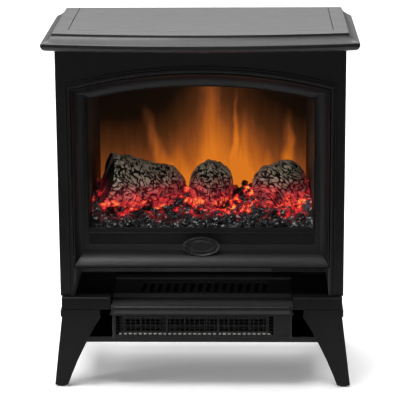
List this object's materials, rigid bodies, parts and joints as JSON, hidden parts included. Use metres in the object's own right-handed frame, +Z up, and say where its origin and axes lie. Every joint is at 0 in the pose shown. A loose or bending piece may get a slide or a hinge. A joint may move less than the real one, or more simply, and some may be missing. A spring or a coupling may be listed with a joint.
{
  "type": "electric fireplace",
  "caption": "Free-standing electric stove with a bow-fronted top, arched window over glowing logs, fan heater below an open alcove, and splayed legs.",
  "frame": {"origin": "on the floor, at the centre of the bounding box seen from above", "axes": "+Z up, -Y towards the front of the stove, +X to the right as seen from the front"},
  "size_m": [0.49, 0.29, 0.577],
  "materials": {
    "satin_black_moulding": "satin black moulded and painted face",
    "satin_black_sheet": "satin black powder coat",
    "leg_black": "satin black over a fine cast texture",
    "badge_black": "semi-gloss black oval",
    "heater_black": "matt black heat-resistant moulding",
    "control_black": "semi-gloss black",
    "window_glass": "clear, toughened",
    "lamp_glass": "clear",
    "chamber_brown": "matt brown-grey",
    "flame_screen": "translucent screen lit from behind",
    "bark_resin": "rough painted bark",
    "ember_resin": "translucent red resin under black coal paint",
    "inner_steel": "plain folded sheet",
    "brass_bush": "plain turned",
    "white_ceramic": "matt white",
    "black_rubber": "matt"
  },
  "bodies": {
    "cabinet": {"top_slab": "satin_black_moulding", "top_inset_panel": "satin_black_moulding", "front_fascia": "satin_black_moulding", "window_surround": "satin_black_moulding", "base_frame": "satin_black_moulding", "heater_visor": "satin_black_moulding", "left_side_panel": "satin_black_sheet", "right_side_panel": "satin_black_sheet", "rear_panel": "satin_black_sheet", "base_pan": "satin_black_sheet", "leg_front_left": "leg_black", "leg_front_right": "leg_black", "leg_rear_left": "leg_black", "leg_rear_right": "leg_black", "badge": "badge_black", "heater_hood": "heater_black", "heater_casing": "heater_black", "outlet_grille": "heater_black", "alcove_lining": "heater_black", "control_plate": "heater_black", "switch_block": "heater_black", "window_glass": "window_glass", "lamp_left": "lamp_glass", "lamp_right": "lamp_glass", "chamber_cheek_left": "chamber_brown", "chamber_cheek_right": "chamber_brown", "chamber_roof": "chamber_brown", "flame_screen": "flame_screen", "log_left": "bark_resin", "log_centre": "bark_resin", "log_right": "bark_resin", "ember_bed": "ember_resin", "lamp_tray": "inner_steel", "flame_cutout": "inner_steel", "flicker_bracket": "inner_steel", "flicker_motor": "inner_steel", "heating_element": "inner_steel", "thermal_cutout": "inner_steel", "fan_scroll": "inner_steel", "fan_motor": "inner_steel", "flicker_bush": "brass_bush", "fan_bush": "brass_bush", "lampholder_left": "white_ceramic", "lampholder_right": "white_ceramic", "thermostat_body": "white_ceramic", "terminal_block": "white_ceramic", "glide_front_left": "black_rubber", "glide_front_right": "black_rubber", "glide_rear_left": "black_rubber", "glide_rear_right": "black_rubber", "cable_gland": "black_rubber"},
    "fan": {"fan_impeller": "heater_black"},
    "flicker": {"flicker_rod": "inner_steel"},
    "rocker_1": {"rocker_switch_1": "control_black"},
    "rocker_2": {"rocker_switch_2": "control_black"},
    "rocker_3": {"rocker_switch_3": "control_black"},
    "knob": {"thermostat_knob": "control_black"}
  },
  "joints": [
    {"name": "fan_spin", "type": "hinge", "parent": "cabinet", "child": "fan", "pos_m": [0, 0.048, 0.1155], "axis": [1, 0, 0], "continuous": true},
    {"name": "flicker_spin", "type": "hinge", "parent": "cabinet", "child": "flicker", "pos_m": [0, 0.073, 0.27], "axis": [1, 0, 0], "continuous": true},
    {"name": "rocker_1_tilt", "type": "hinge", "parent": "cabinet", "child": "rocker_1", "pos_m": [0.124, 0.029, 0.176], "axis": [1, 0, 0], "range_deg": [0, 20]},
    {"name": "rocker_2_tilt", "type": "hinge", "parent": "cabinet", "child": "rocker_2", "pos_m": [0.14, 0.029, 0.176], "axis": [1, 0, 0], "range_deg": [0, 20]},
    {"name": "rocker_3_tilt", "type": "hinge", "parent": "cabinet", "child": "rocker_3", "pos_m": [0.156, 0.029, 0.176], "axis": [1, 0, 0], "range_deg": [0, 20]},
    {"name": "thermostat_turn", "type": "hinge", "parent": "cabinet", "child": "knob", "pos_m": [0.182, 0.01, 0.176], "axis": [0, 1, 0], "range_deg": [0, 270]}
  ]
}
